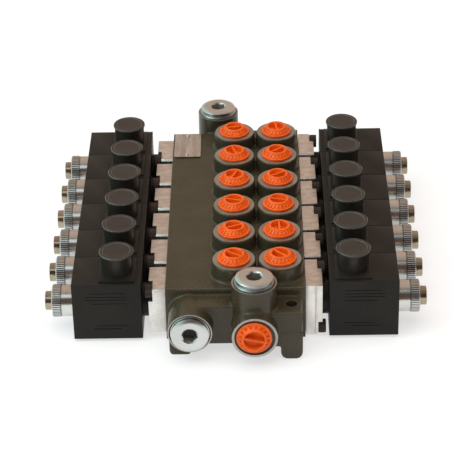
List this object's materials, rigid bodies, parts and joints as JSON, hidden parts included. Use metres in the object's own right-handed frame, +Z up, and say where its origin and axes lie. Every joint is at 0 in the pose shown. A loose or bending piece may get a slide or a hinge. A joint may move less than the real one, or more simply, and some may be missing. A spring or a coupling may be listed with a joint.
{
  "type": "solenoid directional valve",
  "caption": "Monoblock solenoid directional valve: cast body with a row of double-solenoid sections, coil banks on both sides, plugged work ports on top and feet below",
  "frame": {"origin": "under the middle of the part's box, on the surface that the feet stand on", "axes": "+X along the spools to the right-hand coils, +Y from the inlet end to the rear end, +Z up"},
  "size_m": [0.2736, 0.3022, 0.065],
  "materials": {
    "cast_paint": "satin",
    "plate_steel": "satin",
    "bright_steel": "satin",
    "hard_steel": "polished",
    "coil_plastic": "matte",
    "plug_orange": "satin",
    "plate_aluminium": "satin"
  },
  "bodies": {
    "valve": {"valve_body": "cast_paint", "end_housing_left_1": "plate_steel", "end_housing_left_2": "plate_steel", "end_housing_left_3": "plate_steel", "end_housing_left_4": "plate_steel", "end_housing_left_5": "plate_steel", "end_housing_left_6": "plate_steel", "end_housing_right_1": "plate_steel", "end_housing_right_2": "plate_steel", "end_housing_right_3": "plate_steel", "end_housing_right_4": "plate_steel", "end_housing_right_5": "plate_steel", "end_housing_right_6": "plate_steel", "solenoid_tube_left_1": "bright_steel", "solenoid_tube_left_2": "bright_steel", "solenoid_tube_left_3": "bright_steel", "solenoid_tube_left_4": "bright_steel", "solenoid_tube_left_5": "bright_steel", "solenoid_tube_left_6": "bright_steel", "solenoid_tube_right_1": "bright_steel", "solenoid_tube_right_2": "bright_steel", "solenoid_tube_right_3": "bright_steel", "solenoid_tube_right_4": "bright_steel", "solenoid_tube_right_5": "bright_steel", "solenoid_tube_right_6": "bright_steel", "coil_left_1": "coil_plastic", "coil_left_2": "coil_plastic", "coil_left_3": "coil_plastic", "coil_left_4": "coil_plastic", "coil_left_5": "coil_plastic", "coil_left_6": "coil_plastic", "coil_right_1": "coil_plastic", "coil_right_2": "coil_plastic", "coil_right_3": "coil_plastic", "coil_right_4": "coil_plastic", "coil_right_5": "coil_plastic", "coil_right_6": "coil_plastic", "work_port_plug_a1": "plug_orange", "work_port_plug_a2": "plug_orange", "work_port_plug_a3": "plug_orange", "work_port_plug_a4": "plug_orange", "work_port_plug_a5": "plug_orange", "work_port_plug_a6": "plug_orange", "work_port_plug_b1": "plug_orange", "work_port_plug_b2": "plug_orange", "work_port_plug_b3": "plug_orange", "work_port_plug_b4": "plug_orange", "work_port_plug_b5": "plug_orange", "work_port_plug_b6": "plug_orange", "pressure_port_plug": "plug_orange", "relief_port_plug": "bright_steel", "outlet_port_plug": "bright_steel", "tank_port_plug": "bright_steel", "nameplate": "plate_aluminium"},
    "spool_1": {"spool_1": "hard_steel"},
    "spool_2": {"spool_2": "hard_steel"},
    "spool_3": {"spool_3": "hard_steel"},
    "spool_4": {"spool_4": "hard_steel"},
    "spool_5": {"spool_5": "hard_steel"},
    "spool_6": {"spool_6": "hard_steel"}
  },
  "joints": [
    {"name": "spool_1_slide", "type": "slide", "parent": "valve", "child": "spool_1", "axis": [1, 0, 0], "range_m": [-0.005, 0.005], "stiffness_N_per_m": 8000},
    {"name": "spool_2_slide", "type": "slide", "parent": "valve", "child": "spool_2", "axis": [1, 0, 0], "range_m": [-0.005, 0.005], "stiffness_N_per_m": 8000},
    {"name": "spool_3_slide", "type": "slide", "parent": "valve", "child": "spool_3", "axis": [1, 0, 0], "range_m": [-0.005, 0.005], "stiffness_N_per_m": 8000},
    {"name": "spool_4_slide", "type": "slide", "parent": "valve", "child": "spool_4", "axis": [1, 0, 0], "range_m": [-0.005, 0.005], "stiffness_N_per_m": 8000},
    {"name": "spool_5_slide", "type": "slide", "parent": "valve", "child": "spool_5", "axis": [1, 0, 0], "range_m": [-0.005, 0.005], "stiffness_N_per_m": 8000},
    {"name": "spool_6_slide", "type": "slide", "parent": "valve", "child": "spool_6", "axis": [1, 0, 0], "range_m": [-0.005, 0.005], "stiffness_N_per_m": 8000}
  ]
}
